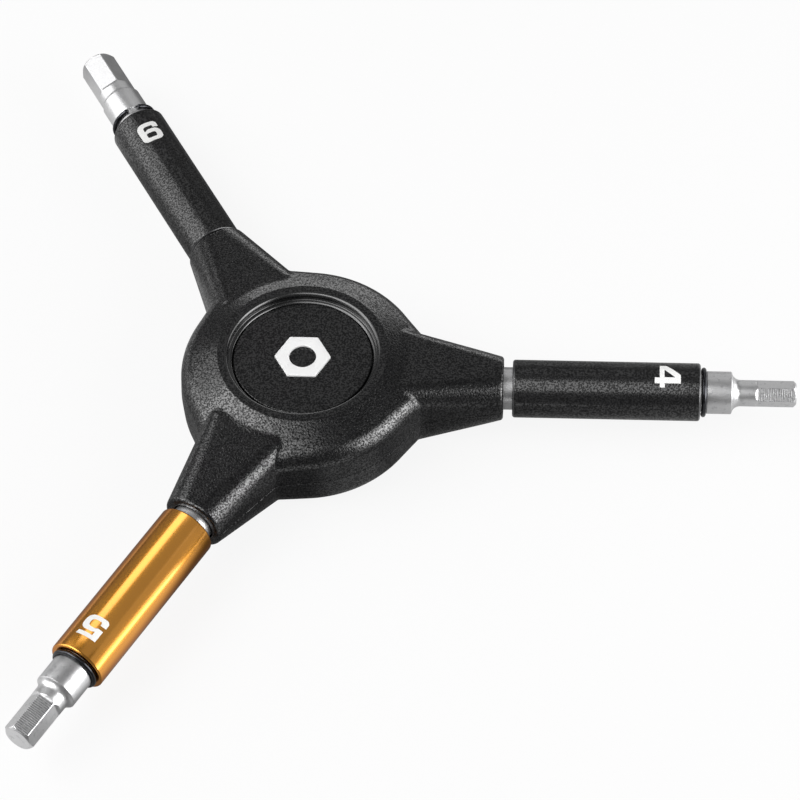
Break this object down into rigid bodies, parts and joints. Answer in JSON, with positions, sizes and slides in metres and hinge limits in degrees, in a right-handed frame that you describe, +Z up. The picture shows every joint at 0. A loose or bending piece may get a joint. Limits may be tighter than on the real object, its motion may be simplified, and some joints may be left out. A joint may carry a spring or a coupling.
{
  "type": "y hex wrench",
  "caption": "Flat Y-shaped hex wrench: a round moulded hub joins steel hexagon keys of different sizes, each with a free-spinning metal grip sleeve.",
  "frame": {"origin": "centre of the hub's flat underside", "axes": "+Z up, square to the tool's flat plane; +X along the 4 mm arm; the 5 mm arm is 120 degrees clockwise from it seen from above, the 6 mm arm 120 degrees anticlockwise"},
  "size_m": [0.1299, 0.1497, 0.018],
  "materials": {
    "black_polymer": "fine spark-eroded texture",
    "foam_tape": "matt",
    "white_enamel": "smooth white",
    "zinc_plate": "bright zinc",
    "satin_chrome": "satin chrome",
    "black_wire": "glossy black oxide",
    "white_acetal": "smooth",
    "black_anodised": "fine satin anodised",
    "gold_anodised": "bright gold anodised"
  },
  "bodies": {
    "frame": {"lower_shell": "black_polymer", "upper_shell": "black_polymer", "badge_disc": "black_polymer", "badge_pad": "foam_tape", "badge_emblem": "white_enamel", "shell_screw_1": "zinc_plate", "shell_screw_2": "zinc_plate", "shell_screw_3": "zinc_plate", "hex_key_4": "satin_chrome", "hex_key_5": "satin_chrome", "hex_key_6": "satin_chrome", "retaining_ring_4": "black_wire", "retaining_ring_5": "black_wire", "retaining_ring_6": "black_wire"},
    "bush_4": {"sleeve_bush_4": "white_acetal"},
    "spinner_4": {"sleeve_4": "black_anodised"},
    "bush_5": {"sleeve_bush_5": "white_acetal"},
    "spinner_5": {"sleeve_5": "gold_anodised"},
    "bush_6": {"sleeve_bush_6": "white_acetal"},
    "spinner_6": {"sleeve_6": "black_anodised"}
  },
  "joints": [
    {"name": "sleeve_4_float", "type": "slide", "parent": "frame", "child": "bush_4", "axis": [1, 0, 0], "range_m": [-0.00145, 0.00005]},
    {"name": "sleeve_4_spin", "type": "hinge", "parent": "bush_4", "child": "spinner_4", "pos_m": [0.03605, 0, 0.009], "axis": [1, 0, 0], "continuous": true},
    {"name": "sleeve_5_float", "type": "slide", "parent": "frame", "child": "bush_5", "axis": [-0.5, -0.866, 0], "range_m": [-0.0015, 0]},
    {"name": "sleeve_5_spin", "type": "hinge", "parent": "bush_5", "child": "spinner_5", "pos_m": [-0.01805, -0.03126, 0.009], "axis": [-0.5, -0.866, 0], "continuous": true},
    {"name": "sleeve_6_float", "type": "slide", "parent": "frame", "child": "bush_6", "axis": [-0.5, 0.866, 0], "range_m": [-0.0002, 0.0013]},
    {"name": "sleeve_6_spin", "type": "hinge", "parent": "bush_6", "child": "spinner_6", "pos_m": [-0.0174, 0.03014, 0.009], "axis": [-0.5, 0.866, 0], "continuous": true}
  ]
}
